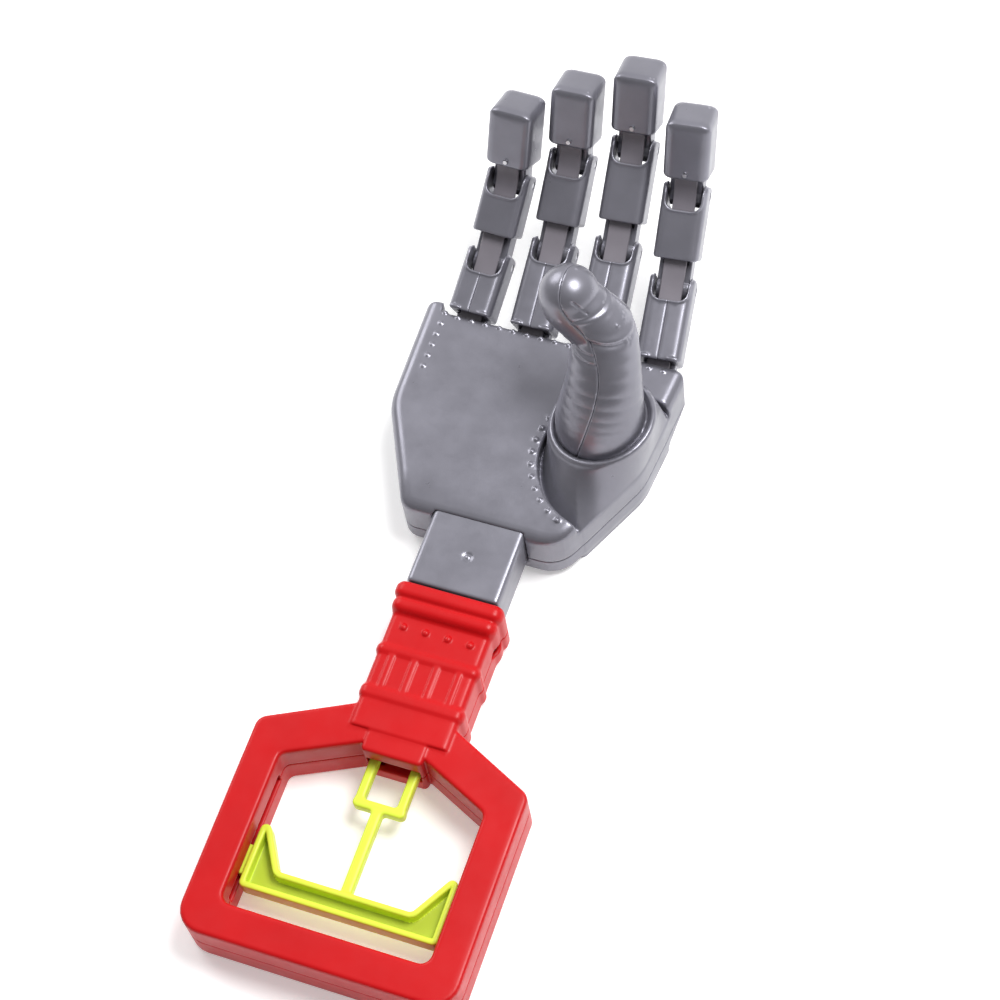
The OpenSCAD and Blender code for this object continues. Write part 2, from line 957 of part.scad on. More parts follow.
module index_peg() { strap_peg(3); }
module index_strap() { strap(3); }

handle_front_shell();
handle_back_shell();
handle_screws();
trigger();
draw_slider();
return_spring();
wrist_block();
palm_front_shell();
palm_back_shell();
palm_screws();
knuckle_pins();
thumb_inner_half();
thumb_outer_half();
thumb_retainer();
thumb_screw();
little_proximal_left();
little_proximal_right();
little_middle_pin();
little_middle();
little_end_pin();
little_distal();
little_peg();
little_strap();
ring_proximal_left();
ring_proximal_right();
ring_middle_pin();
ring_middle();
ring_end_pin();
ring_distal();
ring_peg();
ring_strap();
middle_proximal_left();
middle_proximal_right();
middle_middle_pin();
middle_middle();
middle_end_pin();
middle_distal();
middle_peg();
middle_strap();
index_proximal_left();
index_proximal_right();
index_middle_pin();
index_middle();
index_end_pin();
index_distal();
index_peg();
index_strap();
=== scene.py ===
"""Looks for the toy robot hand: every moulded part is built as a distance field and meshed.

Lengths in the shape functions are millimetres. In "toy" coordinates x is 0 on the handle's long
axis, y at the handle's lower edge and z on the table. Phalanx and socket coordinates are described
where they are made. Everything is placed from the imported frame.
"""
import json
import math

import bpy
import numpy as np
import openvdb
from mathutils import Matrix, Vector


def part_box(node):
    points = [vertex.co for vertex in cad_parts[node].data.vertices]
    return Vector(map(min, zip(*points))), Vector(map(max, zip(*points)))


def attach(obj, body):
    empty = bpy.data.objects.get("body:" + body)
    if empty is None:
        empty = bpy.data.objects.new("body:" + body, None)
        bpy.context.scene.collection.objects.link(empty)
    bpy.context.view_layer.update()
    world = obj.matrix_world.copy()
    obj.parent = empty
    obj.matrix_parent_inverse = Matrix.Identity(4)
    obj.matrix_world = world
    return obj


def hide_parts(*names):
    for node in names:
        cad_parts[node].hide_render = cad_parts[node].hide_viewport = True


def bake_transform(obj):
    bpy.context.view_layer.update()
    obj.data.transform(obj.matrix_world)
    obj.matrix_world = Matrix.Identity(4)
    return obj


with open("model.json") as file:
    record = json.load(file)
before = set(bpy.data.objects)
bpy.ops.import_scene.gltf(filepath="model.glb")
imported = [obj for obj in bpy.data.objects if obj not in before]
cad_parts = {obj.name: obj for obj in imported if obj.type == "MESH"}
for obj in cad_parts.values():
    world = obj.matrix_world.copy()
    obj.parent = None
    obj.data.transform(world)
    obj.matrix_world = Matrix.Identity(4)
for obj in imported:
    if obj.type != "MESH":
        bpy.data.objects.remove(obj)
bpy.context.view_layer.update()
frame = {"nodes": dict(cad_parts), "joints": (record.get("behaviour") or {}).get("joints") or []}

MM = 0.001
BODY = "handle"
FINGERS = ("little", "ring", "middle", "index")
JOINTS = {joint["name"]: joint for joint in frame["joints"]}

# sizes that several parts share
WALL = 1.6
# recess of a screw's head
HEAD_R = 2.15
HEAD_DEPTH = 2.2
# a finger, the hub at a phalanx's lower end and the pin in it
FINGER_W = 10.8
HUB_W = 7.8
HUB_R = 3
PIN_R = 0.9
RUNNING_GAP = 0.05
# turn of each phalanx from the table, in degrees
BENDS = {"base": 20.3, "mid": 34.8, "tip": 65.8}

# ---------------------------------------------------------------- distance fields


def length(*parts):
    return np.sqrt(sum(part * part for part in parts))


def union(a, b, r=0.0):
    """Smaller of two distances, with a fillet of radius r where the shapes meet."""
    if not r:
        return np.minimum(a, b)
    return np.maximum(np.minimum(a, b), r) - length(np.maximum(r - a, 0), np.maximum(r - b, 0))


def meet(a, b, r=0.0):
    """Common part of two shapes, with its new edges rounded to radius r."""
    return -union(-a, -b, r)


def cut(a, b, r=0.0):
    """Shape a without shape b, with its new edges rounded to radius r."""
    return meet(a, -b, r)


def mix(a, b, t):
    return a + (b - a) * t


def ease(t):
    t = np.clip(t, 0, 1)
    return t * t * (3 - 2 * t)


def span(v, low, high):
    """Distance to a slab between two values of one coordinate."""
    return np.abs(v - (low + high) / 2) - (high - low) / 2


def disc(x, y, centre, r):
    return length(x - centre[0], y - centre[1]) - r


def rectangle(x, y, x0, x1, y0, y1, r):
    qx = span(x, x0, x1) + r
    qy = span(y, y0, y1) + r
    return length(np.maximum(qx, 0), np.maximum(qy, 0)) + np.minimum(np.maximum(qx, qy), 0) - r


def rounded(points, radii, steps=6):
    """Outline with an arc at each corner."""
    made = []
    for i, here in enumerate(points):
        here = Vector(here)
        back = (Vector(points[i - 1]) - here).normalized()
        on = (Vector(points[(i + 1) % len(points)]) - here).normalized()
        half = back.angle(on) / 2
        centre = here + (back + on).normalized() * radii[i] / math.sin(half)
        a = here + back * radii[i] / math.tan(half) - centre
        b = here + on * radii[i] / math.tan(half) - centre
        turn = math.atan2(a.x * b.y - a.y * b.x, a.dot(b))
        for k in range(steps + 1):
            made.append(tuple(centre + Matrix.Rotation(turn * k / steps, 2) @ a))
    return made


def outline(x, y, points):
    """Signed distance to a closed outline, negative inside."""
    best = None
    sign = 1.0
    for (ax, ay), (bx, by) in zip(points, points[1:] + points[:1]):
        ex, ey = bx - ax, by - ay
        wx, wy = x - ax, y - ay
        t = np.clip((wx * ex + wy * ey) / (ex * ex + ey * ey + 1e-12), 0, 1)
        d = (wx - ex * t) ** 2 + (wy - ey * t) ** 2
        best = d if best is None else np.minimum(best, d)
        above, below, left = y >= ay, y < by, ex * wy > ey * wx
        sign = sign * np.where((above & below & left) | ~(above | below | left), -1.0, 1.0)
    return sign * np.sqrt(best)


def prism(flat, z, z0, z1, r=0.0):
    return meet(flat, span(z, z0, z1), r)


# ---------------------------------------------------------------- meshing

# half width of the narrow band that the mesher reads, in voxels
BAND = 3.0
low_corner, high_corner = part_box("handle_back_shell")
TOY = (Matrix.Translation(((low_corner[0] + high_corner[0]) / 2, low_corner[1], 0))
       @ Matrix.Scale(MM, 4))
TO_TOY = TOY.inverted()
FINE = 0.3
FINEST = 0.2


def mould(name, material, distance, low, high, voxel, place=TOY, detail=0.002):
    """Mesh of the shape that distance(x, y, z) describes between two corners."""
    low = np.array(low, float) - 2 * voxel
    counts = np.ceil((np.array(high, float) + 2 * voxel - low) / voxel).astype(int) + 1
    axes = [(low[i] + voxel * np.arange(counts[i])).astype(np.float32) for i in range(3)]
    x, y, z = axes[0][:, None, None], axes[1][None, :, None], axes[2][None, None, :]
    field = np.broadcast_to(distance(x, y, z), counts) / voxel
    grid = openvdb.FloatGrid(BAND)
    grid.copyFromArray(np.clip(field, -BAND, BAND).astype(np.float32))
    points, triangles, quads = grid.convertToPolygons(isovalue=0.0, adaptivity=detail)
    points = points * voxel + low
    faces = quads.tolist() + triangles.tolist()
    return piece(name, material, points, faces, place)


def piece(name, material, points, faces, place=TOY):
    mesh = bpy.data.meshes.new(name)
    mesh.from_pydata(np.asarray(points, float), [], faces)
    mesh.transform(place)
    mesh.shade_smooth()
    mesh.materials.append(material)
    made = bpy.data.objects.new(name, mesh)
    bpy.context.scene.collection.objects.link(made)
    return made


def swept_faces(rings, n):
    """Faces of a bar made of rings of n points, with a cap at each end."""
    faces = []
    for k in range(rings - 1):
        for i in range(n):
            j = (i + 1) % n
            faces.append((k * n + i, k * n + j, (k + 1) * n + j, (k + 1) * n + i))
    last = (rings - 1) * n
    return faces + [tuple(range(n))[::-1], tuple(last + i for i in range(n))]


def stands_for(made, body, *nodes):
    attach(made, body)
    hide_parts(*nodes)
    return made


# ---------------------------------------------------------------- materials


def plastic(name, colour, roughness, metallic=0.0, mottle=0.06, edge=1.12, specular=0.5):
    """Moulded plastic: slight cloudiness, edges lightened partly as rubbed wear and partly as a
    painted highlight, uneven gloss and a fine surface grain.
    """
    material = bpy.data.materials.new(name)
    material.use_nodes = True
    nodes, links = material.node_tree.nodes, material.node_tree.links
    shader = nodes["Principled BSDF"]
    shader.inputs["Metallic"].default_value = metallic
    shader.inputs["Specular IOR Level"].default_value = specular
    place = nodes.new("ShaderNodeTexCoord").outputs["Object"]

    def noise(scale, detail, rough=0.55):
        node = nodes.new("ShaderNodeTexNoise")
        node.inputs["Scale"].default_value = scale
        node.inputs["Detail"].default_value = detail
        node.inputs["Roughness"].default_value = rough
        links.new(place, node.inputs["Vector"])
        return node.outputs["Fac"]

    def ramp(source, low, high, a, b):
        node = nodes.new("ShaderNodeMapRange")
        node.inputs["From Min"].default_value = low
        node.inputs["From Max"].default_value = high
        node.inputs["To Min"].default_value = a
        node.inputs["To Max"].default_value = b
        links.new(source, node.inputs["Value"])
        return node.outputs["Result"]

    def mixed(factor, a, b):
        node = nodes.new("ShaderNodeMix")
        node.data_type = "RGBA"
        links.new(factor, node.inputs["Factor"])
        for end, value in (("A", a), ("B", b)):
            if isinstance(value, tuple):
                node.inputs[end].default_value = (*value, 1)
            else:
                links.new(value, node.inputs[end])
        return node.outputs["Result"]

    dark = tuple(c * (1 - mottle) for c in colour)
    light = tuple(min(c * (1 + mottle), 1) for c in colour)
    cloud = mixed(ramp(noise(55, 4), 0.35, 0.65, 0, 1), dark, light)
    # convex edges are lightened: partly wear, partly a painted highlight where edges catch light
    edges = nodes.new("ShaderNodeNewGeometry").outputs["Pointiness"]
    worn_and_lit_edge = tuple(min(c * edge + 0.01, 1) for c in colour)
    links.new(mixed(ramp(edges, 0.52, 0.60, 0, 1), cloud, worn_and_lit_edge), shader.inputs["Base Color"])
    links.new(ramp(noise(160, 6, 0.7), 0.3, 0.7, roughness - 0.05, roughness + 0.07),
              shader.inputs["Roughness"])
    bump = nodes.new("ShaderNodeBump")
    bump.inputs["Strength"].default_value = 0.05
    bump.inputs["Distance"].default_value = 0.05 * MM
    links.new(noise(1800, 3), bump.inputs["Height"])
    links.new(bump.outputs["Normal"], shader.inputs["Normal"])
    return material


SILVER = plastic("silver_plastic", (0.215, 0.212, 0.248), 0.32, metallic=0.6, mottle=0.07,
                 edge=1.4)
STRAP_GREY = plastic("strap_plastic", (0.19, 0.175, 0.2), 0.42, metallic=0.2, mottle=0.08,
                     edge=1.1)
RED = plastic("red_plastic", (0.50, 0.004, 0.006), 0.34, mottle=0.04, edge=1.05, specular=0.25)
LIME = plastic("lime_plastic", (0.66, 0.80, 0.06), 0.36, mottle=0.04, edge=1.05, specular=0.3)
# the floor of the trigger's recesses gets a darker lime as painted shade
LIME_PAINTED_SHADE = plastic("lime_recess_painted_shade", (0.42, 0.50, 0.03), 0.45, mottle=0.06, edge=1.05, specular=0.3)
STEEL = plastic("screw_steel", (0.55, 0.55, 0.57), 0.32, metallic=1.0, mottle=0.1, edge=1.2)
GUIDE = plastic("slider_plastic", (0.16, 0.155, 0.17), 0.5, mottle=0.08, edge=1.1)

# ---------------------------------------------------------------- handle and forearm

HANDLE_T = 14.7
MID_Z = HANDLE_T / 2
RING_OUTER = rounded([(-32.1, 0), (32.1, 0), (32.1, 50.8), (12, 60.5), (-12, 60.5), (-32.1, 50.8)],
                     [6, 6, 3, 1, 1, 3])
RING_INNER = rounded([(-24, 8.2), (24, 8.2), (24, 43.9), (7.4, 51.7), (-7.4, 51.7), (-24, 43.9)],
                     [2.4, 2.4, 2, 1, 1, 2])
FOREARM_END = 91
RIB_X = (-8, -8 / 3, 8 / 3, 8)
DOT_Y = 80.4
SCREWS = [(-28, 4.2), (28, 4.2), (-28, 46), (28, 46), (-10.7, 56.2), (10.7, 56.2)]


def bar(x, z, y, half, z0, z1, y0, y1, r, end=0.4):
    """Bar along y with rounded long edges."""
    return meet(rectangle(x, z, -half, half, z0, z1, r), span(y, y0, y1), end)


def screw_recesses(d, x, y, z, places):
    """The shape d with a hole for each screw's head, open at the back."""
    for place in places:
        d = cut(d, meet(disc(x, y, place, HEAD_R), z - HEAD_DEPTH), 0.15)
    return d


def handle_solid(x, y, z):
    ring = cut(outline(x, y, RING_OUTER), outline(x, y, RING_INNER))
    d = prism(ring, z, 0, HANDLE_T, 0.9)
    mouth = prism(rectangle(x, y, -7.2, 7.2, 49.9, 58, 1.2), z, 0.4, 15.1, 0.8)
    d = union(d, mouth, 0.3)
    arm = bar(x, z, y, 11.9, 0, 15.4, 55, FOREARM_END - 1, 1.6)
    # two hoops, then the collar's two steps
    for y0, y1 in ((62, 65.4), (73, 75.8)):
        arm = union(arm, bar(x, z, y, 12.5, 0, 15.85, y0, y1, 2.0, 1.2), 0.5)
    arm = union(arm, bar(x, z, y, 12.6, 0, 17.2, 83.4, 87.6, 2.4, 1.9), 0.8)
    arm = union(arm, bar(x, z, y, 13.0, 0, 17.8, 86.8, FOREARM_END, 2.4, 1.7), 0.4)
    # ribs between the hoops
    for rib in RIB_X:
        arm = union(arm, meet(rectangle(x, y, rib - 0.8, rib + 0.8, 64.5, 73.5, 0.2),
                              span(z, 12, 15.7), 0.25), 0.25)
    for dot in RIB_X:
        arm = union(arm, length(x - dot, y - DOT_Y, z - 15.1) - 0.95, 0.15)
    return meet(union(d, arm, 0.4), -z)


def handle_shell(front):
    def distance(x, y, z):
        solid = handle_solid(x, y, z)
        d = cut(solid, solid + WALL)
        d = union(d, meet(solid, prism(rectangle(x, y, -3.2, 3.2, 50.5, 52.5, 0.1), z, 1, 14)))
        # mouth of the trigger's arms
        d = cut(d, meet(rectangle(x, z, -6.3, 6.3, MID_Z - 2.4, MID_Z + 3.2, 0.4),
                        span(y, 48, 56)), 0.2)
        # groove that guides the trigger's tabs
        d = cut(d, prism(rectangle(x, y, -25.7, 25.7, 11, 41, 0.3), z, MID_Z - 1.5, MID_Z + 1.5),
                0.2)
        # open end for the wrist, and the slot in the collar's side
        d = cut(d, bar(x, z, y, 10.95, 4.25, 16.35, 84, 96, 1.5), 0.2)
        d = cut(d, meet(length((y - 84.3) / 1.6, z - MID_Z) - 1.5, 11 - np.abs(x)), 0.3)
        d = screw_recesses(d, x, y, z, SCREWS)
        parting = MID_Z - z if front else z - MID_Z
        return meet(d, parting, 0.25)
    return distance


for side, front, z0, z1 in (("front", True, MID_Z, 17.9), ("back", False, 0, MID_Z)):
    stands_for(mould(f"handle_{side}", RED, handle_shell(front),
                     (-32.2, 0, z0), (32.2, FOREARM_END, z1), FINE),
               BODY, f"handle_{side}_shell")

# ---------------------------------------------------------------- wrist and palm


def wrist_solid(x, y, z):
    # the block that shows, its tongue with a wider end, and the flange inside the palm
    d = bar(x + 0.3, z, y, 11.2, 4.4, 16.2, 91.5, 113.8, 1.3, 0.8)
    d = union(d, bar(x, z, y, 9.8, 5, 13.2, 79, 92, 1))
    d = union(d, bar(x, z, y, 10.2, 4.6, 13.5, 79, 84.5, 1))
    d = union(d, bar(x, z, y, 13, 4.4, 14.2, 110.8, 113.8, 1))
    d = cut(d, bar(x, z, y, 8, 6.8, 12.2, 70, 130, 0.8), 0.2)
    # small ring moulded in the block's face
    around = length(x - 0.2, y - 100.9)
    return cut(d, meet(np.abs(around - 0.75) - 0.3, 15.95 - z), 0.15)


stands_for(mould("wrist", SILVER, wrist_solid, (-13.1, 78.9, 4.3),
                 (13.1, 114.9, 16.4), FINE), BODY, "wrist_block")

PALM_T = 17.9
PALM_SPLIT = 6.5
PALM_SCREWS = [(-13, 148), (3.4, 148), (-17, 115.4), (17, 115.4)]
# the outline runs on past the upper edge and the side view past the lower one
PALM_OUTLINE = rounded([(-19.1, 108.9), (19.1, 108.9), (31.2, 134), (35, 172), (-32.1, 172),
                        (-31.2, 134)], [4, 8, 16, 1, 1, 16])
PALM_SIDE = rounded([(100, 0), (148.4, 0), (160.6, 4.2), (160.6, PALM_T), (100, PALM_T)],
                    [1, 6, 1.5, 1.1, 1])
# the row of rivets and the valley beside it follow one circle
VALLEY = (25.8, 133)
VALLEY_R = 18.5
VALLEY_Z = 13.6
RIVET_R = 0.5
RIVET_PITCH = 3.3
COLUMN_X = -26.5
COLUMN_PITCH = 3.07
EDGE_PITCH = 3.47
ROW_R = 20.1
ROW_START = math.radians(159.7)
SOCKET = Vector((19.9, 139.8, 24))
TILT = math.radians(12)
RING_R = 12.7
ROOT_R = 10.8
SPIGOT_R = 6
SOCKET_DEPTH = 4
LIP_HALF = 0.7
LIP_R = RING_R - LIP_HALF


def socket_axes(x, y, z):
    """Toy coordinates turned into the socket's own: z leaves the ring."""
    dx, dz = x - SOCKET.x, z - SOCKET.z
    return (dx * math.cos(TILT) + dz * math.sin(TILT), y - SOCKET.y,
            dz * math.cos(TILT) - dx * math.sin(TILT))


def socket_cone(x, y, z):
    """Loft from the palm's lower corner up to the thumb's ring."""
    foot = meet(outline(x, y, PALM_OUTLINE) + 0.1, disc(x, y, VALLEY, VALLEY_R - 0.3), 1.5)
    rise = SOCKET.z + (x - SOCKET.x) * math.tan(TILT)
    t = (z - VALLEY_Z) / (rise - VALLEY_Z)
    top = disc(x, y, (SOCKET.x, SOCKET.y), RING_R)
    side = mix(foot, top, np.clip(t, 0, 1.2))
    u, v, w = socket_axes(x, y, z)
    lip = length(length(u, v) - LIP_R, w + LIP_HALF) - LIP_HALF
    return union(meet(side, w + LIP_HALF, 0.3), lip, 0.25)


def rivets():
    """Centres of the rivets: rows along the plate's edges and a curved one beside the valley."""
    rows = [(COLUMN_X, 160.3 - k * COLUMN_PITCH) for k in range(6)]
    rows += [(COLUMN_X + k * EDGE_PITCH, 159.8) for k in range(1, 10)]
    rows += [(25, 159.1), (28.5, 159.1)]
    for k in range(-3, 10):
        turn = ROW_START + k * RIVET_PITCH / ROW_R
        rows.append((VALLEY[0] + ROW_R * math.cos(turn), VALLEY[1] + ROW_R * math.sin(turn)))
    return rows


def palm_solid(x, y, z):
    dish = 0.45 * np.exp(-((x + 2) ** 2 + (y - 141) ** 2) / 14 ** 2)
    # the corner beside the little finger stands higher than the rest of the upper edge
    corner = 2.6 * ease((-27.2 - x) / 0.8)
    d = meet(outline(x, y, PALM_OUTLINE), outline(y - corner, z + dish, PALM_SIDE), 2.8)
    d = meet(d, (z - PALM_T + (113.5 - y) * 0.36) * 0.94, 1.5)
    hollow = meet(disc(x, y, VALLEY, VALLEY_R), VALLEY_Z - z, 0.8)
    d = cut(d, hollow, 0.7)
    return union(d, socket_cone(x, y, z), 0.5)


def rivet_head(x, y, z):
    """Low round rivet head."""
    return length(x, y, z + 0.35) - RIVET_R - 0.2


def palm_shell(front):
    def distance(x, y, z):
        solid = palm_solid(x, y, z)
        d = cut(solid, solid + WALL)
        u, v, w = socket_axes(x, y, z)
        around = length(u, v)
        d = union(d, meet(solid, meet(around - ROOT_R - 1.6, span(w, -SOCKET_DEPTH - 1.6, -1))))
        d = cut(d, meet(around - ROOT_R - RUNNING_GAP, -SOCKET_DEPTH - w))
        d = cut(d, meet(around - SPIGOT_R - RUNNING_GAP, -SOCKET_DEPTH - 3 - w))
        if front:
            for rx, ry in rivets():
                d = union(d, rivet_head(x - rx, y - ry, z - PALM_T), 0.12)
        # mouth of the wrist block
        d = cut(d, meet(rectangle(x, z, -11.65, 11.05, 4.25, 16.35, 1.3), span(y, 106, 114.2)),
                0.2)
        for finger in FINGERS:
            d = cut(d, finger_slot(finger, x, y, z), 0.2)
        d = screw_recesses(d, x, y, z, PALM_SCREWS)
        parting = PALM_SPLIT - z if front else z - PALM_SPLIT
        return meet(d, parting, 0.22)
    return distance


def joint_of(finger, knuckle):
    return JOINTS[f"{finger}_{knuckle}_knuckle"]


def finger_slot(finger, x, y, z):
    """Cut in the palm's top wall where a finger's neck comes out."""
    at = TO_TOY @ Vector(joint_of(finger, "base")["pos_m"])
    ax, ay, _ = joint_of(finger, "base")["axis"]
    across = (x - at.x) * ax + (y - at.y) * ay
    along = (y - at.y) * ax - (x - at.x) * ay
    half = HUB_W / 2 + 0.3
    slot = meet(rectangle(across, z, -half, half, at.z - 3.4, PALM_T - 1.1, 0.3),
                span(along, 1, 6))
    pocket = meet(length(along, z - at.z) - HUB_R - 0.3, np.abs(across) - HUB_W / 2 - 0.25)
    return union(slot, pocket)


for side, front, z0, z1 in (("front", True, PALM_SPLIT, 28), ("back", False, 0, PALM_SPLIT)):
    stands_for(mould(f"palm_{side}", SILVER, palm_shell(front),
                     (-32.2, 108.8, z0), (34.4, 163.4, z1), FINE),
               BODY, f"palm_{side}_shell")

# ---------------------------------------------------------------- thumb

SOCKET_PLACE = (TOY @ Matrix.Translation(SOCKET) @ Matrix.Rotation(-TILT, 4, "Y"))
# centre line in the socket's frame with its radii, root to tip
THUMB = [(-0.3, -0.2, -1.2, 10.6), (0.2, 0.4, 2, 10.2), (2.2, 4.3, 10.7, 8.7),
         (2.5, 10.5, 19.9, 7.5), (-0.6, 11.9, 24.6, 7.2), (-3.3, 12.4, 28.2, 7.0),
         (-3.8, 13, 30.4, 6.9)]
# the parting line between the halves, as seen from the front: place across at a height
SEAM = [(-3.4, -2), (1.2, 7.5), (3.3, 12.3), (4.4, 17), (3.7, 21.4), (1.4, 26.3), (-1.2, 30),
        (-3, 34.4), (-3.3, 40)]
# fine line pressed in near the tip, and the small rivets on the outer side
SLIT = ((-0.4, 8.4, 34.2), (2.2, 8.5, 30.4))
THUMB_RIVETS = [(8.0, 12.1, 24.5), (7.6, 9.5, 25.2), (9.6, 8.4, 19.9), (9.2, 8.1, 21.4)]


def spline(points, steps):
    """Catmull-Rom curve through points of any size."""
    pts = [np.array(p, float) for p in points]
    pts = [2 * pts[0] - pts[1]] + pts + [2 * pts[-1] - pts[-2]]
    made = []
    for a, b, c, d in zip(pts, pts[1:], pts[2:], pts[3:]):
        for k in range(steps):
            t = k / steps
            made.append(0.5 * (2 * b + (c - a) * t + (2 * a - 5 * b + 4 * c - d) * t * t
                               + (3 * b - a - 3 * c + d) * t ** 3))
    return made + [pts[-2]]


def capsule(x, y, z, a, b, ra, rb):
    """Round bar between two points with a radius at each."""
    ex, ey, ez = b[0] - a[0], b[1] - a[1], b[2] - a[2]
    t = np.clip(((x - a[0]) * ex + (y - a[1]) * ey + (z - a[2]) * ez)
                / (ex * ex + ey * ey + ez * ez), 0, 1)
    return length(x - a[0] - ex * t, y - a[1] - ey * t, z - a[2] - ez * t) - ra - (rb - ra) * t


def seam_x(z):
    line = np.array(spline(SEAM, 6))
    return np.interp(z, line[:, 1], line[:, 0])


def ridge(s, width):
    """Bump of height 1 across the line s = 0."""
    return np.exp(-(s / width) ** 2)


def thumb_solid(x, y, z):
    line = spline(THUMB, 4)
    d = None
    for a, b in zip(line, line[1:]):
        part = capsule(x, y, z, a, b, a[3], b[3])
        d = part if d is None else np.minimum(d, part)
    outer = ease((x - seam_x(z)) / 0.6 + 0.5)
    # sleeve of the upper joint, outline of the nail, and creases on the inner side
    sleeve = z + 0.3 * x + 0.2 * y - 26.2
    nail = z + 0.12 * (y - 10) - 29.4
    d = d + outer * (0.3 * ridge(sleeve, 0.5) - 0.25 * ridge(sleeve - 1.2, 0.8))
    d = d + outer * (0.18 * ridge(nail, 0.3) - 0.15 * ridge(nail + 0.6, 0.4))
    for height in (22.1, 20.7):
        d = d + 0.3 * (1 - outer) * ridge(z - height + 0.08 * x, 0.35)
    d = cut(d, capsule(x, y, z, *SLIT, 0.32, 0.2), 0.1)
    for rx, ry, rz in THUMB_RIVETS:
        d = union(d, meet(d - 0.22, length(x - rx, y - ry, z - rz) - 0.6), 0.1)
    d = meet(d, -0.8 - z)
    d = union(d, meet(length(x, y) - ROOT_R, span(z, -SOCKET_DEPTH, -0.7), 0.3))
    return union(d, meet(length(x, y) - SPIGOT_R, span(z, -SOCKET_DEPTH - 1.7, -2), 0.2))


def thumb_half(side):
    def distance(x, y, z):
        solid = thumb_solid(x, y, z)
        d = cut(solid, meet(solid + 1.8, 1 - z))
        return meet(d, (x - seam_x(z)) * -side, 0.22)
    return distance


for label, side, x0, x1 in (("inner", -1, -13, 5), ("outer", 1, -5, 13)):
    stands_for(mould(f"thumb_{label}", SILVER, thumb_half(side),
                     (x0, -12, -5.8), (x1, 22, 40), FINE, SOCKET_PLACE),
               "thumb", f"thumb_{label}_half")

# ---------------------------------------------------------------- fingers

# depth in front of the pins and behind them, and how far the fingertip's lower end slants
PALMAR = 6.2
DORSAL = 3.6
TIP_DORSAL = 5.8
TIP_SLANT = 3
SKIN = 1.2
# a phalanx's body starts this far from its pin, and its ears pass the next pin by EAR
START = 7
EAR = 2.2
# depth of the notch between the ears, palm side and back
NOTCH = 4
NOTCH_BACK = 4.8
DISTAL = 22.2
PHALANX_DETAIL = 0.003


def phalanx_place(finger, knuckle):
    """Frame of a phalanx: x along the pin, y to the fingertip and z out of the palm side."""
    joint = joint_of(finger, knuckle)
    pin = Vector(joint["axis"])
    turn = Matrix.Rotation(math.radians(BENDS[knuckle]), 3, pin)
    along = turn @ Vector((-pin.y, pin.x, 0))
    up = pin.cross(along)
    rows = Matrix((pin, along, up)).transposed().to_4x4()
    return Matrix.Translation(joint["pos_m"]) @ rows @ Matrix.Scale(MM, 4)


def gap_to(finger, a, b):
    return (Vector(joint_of(finger, b)["pos_m"]) - Vector(joint_of(finger, a)["pos_m"])).length / MM


def hub(x, y, z, low_top):
    d = prism(length(y, z) - HUB_R, x, -HUB_W / 2, HUB_W / 2, 0.3)
    top = 1.0 if low_top else 2.4
    neck = meet(rectangle(y, z, 0, START + 0.6, -HUB_R, top, 0.2), np.abs(x) - HUB_W / 2, 0.3)
    d = union(d, neck)
    if low_top:
        d = cut(d, meet(np.abs(x) - 2.95, 1.3 - z))
    return cut(d, length(y, z) - PIN_R - RUNNING_GAP)


def tube(x, z, inset, back=DORSAL):
    half = FINGER_W / 2 - inset
    return rectangle(x, z, -half, half, -back + inset, PALMAR - inset, 2.3 - 0.7 * inset)


def strap_slot(x, y, z):
    return meet(rectangle(x, z, -3, 3, 1.4, PALMAR - SKIN, 0.2), span(y, START - 1, START + 3))


def open_phalanx(reach, low_top, side=0):
    top = reach + EAR
    ears = rounded([(START, -DORSAL), (top, -DORSAL), (top, PALMAR), (START, PALMAR)],
                   [0.5, 3.6, 3.6, 0.5])

    def distance(x, y, z):
        plan = rectangle(x, y, -FINGER_W / 2, FINGER_W / 2, START, top + 9, 1.1)
        outer = meet(meet(tube(x, z, 0), plan), outline(y, z, ears), 0.35)
        hollow = meet(tube(x, z, SKIN), START + SKIN - y, 0.3)
        d = cut(outer, hollow, 0.15)
        notch, back = (rectangle(x, y, -FINGER_W / 2 + SKIN, FINGER_W / 2 - SKIN, reach - deep,
                                 top + 6, 2.2) for deep in (NOTCH, NOTCH_BACK))
        d = union(d, meet(meet(notch - 0.55, tube(x, z, -0.18), 0.1), meet(d - 0.3, 3 - z)), 0.15)
        d = cut(d, union(meet(notch, 2.5 - z), meet(back, z + 0.4)), 0.2)
        # lugs at the lower corners of the front
        lug = length((np.abs(x) - 3.5) / 1.4, (y - START - 0.55) / 0.5, (z - PALMAR) / 0.4) - 1
        if low_top:
            d = union(d, 0.4 * lug, 0.1)
        d = union(d, hub(x, y, z, low_top), 0.1)
        d = cut(d, strap_slot(x, y, z))
        d = cut(d, length(y - reach, z) - PIN_R)
        if side:
            d = meet(d, -side * x, 0.15)
        return d
    return distance


def distal(x, y, z):
    cap = rounded([(START - TIP_SLANT, -TIP_DORSAL), (DISTAL, -TIP_DORSAL), (DISTAL, PALMAR),
                   (START, PALMAR)], [0.8, 2.6, 2.6, 0.6])
    plan = rectangle(x, y, -FINGER_W / 2, FINGER_W / 2, 0, DISTAL, 3.0)
    outer = meet(meet(tube(x, z, 0, TIP_DORSAL), plan), outline(y, z, cap), 1.2)
    hollow = meet(tube(x, z, SKIN, TIP_DORSAL), span(y, START + SKIN, DISTAL - SKIN), 0.8)
    d = cut(outer, hollow)
    d = union(d, hub(x, y, z, False), 0.1)
    d = cut(d, strap_slot(x, y, z))
    # moulded lines on the fingertip and across the pad
    line = meet(np.abs(x) - 0.13, meet(DISTAL - 0.22 - y, z - 3.4))
    for tick in (-2.9, -1.7, 1.9):
        line = union(line, meet(np.abs(x - tick) - 0.12, meet(DISTAL - 0.2 - y, z + 1.6)))
    d = cut(d, line, 0.05)
    d = cut(d, meet(np.abs(y - START - 7) - 0.15, PALMAR - 0.1 - z))
    return cut(d, meet(length(x, y - START - 1.5) - 0.5, 4 - z))


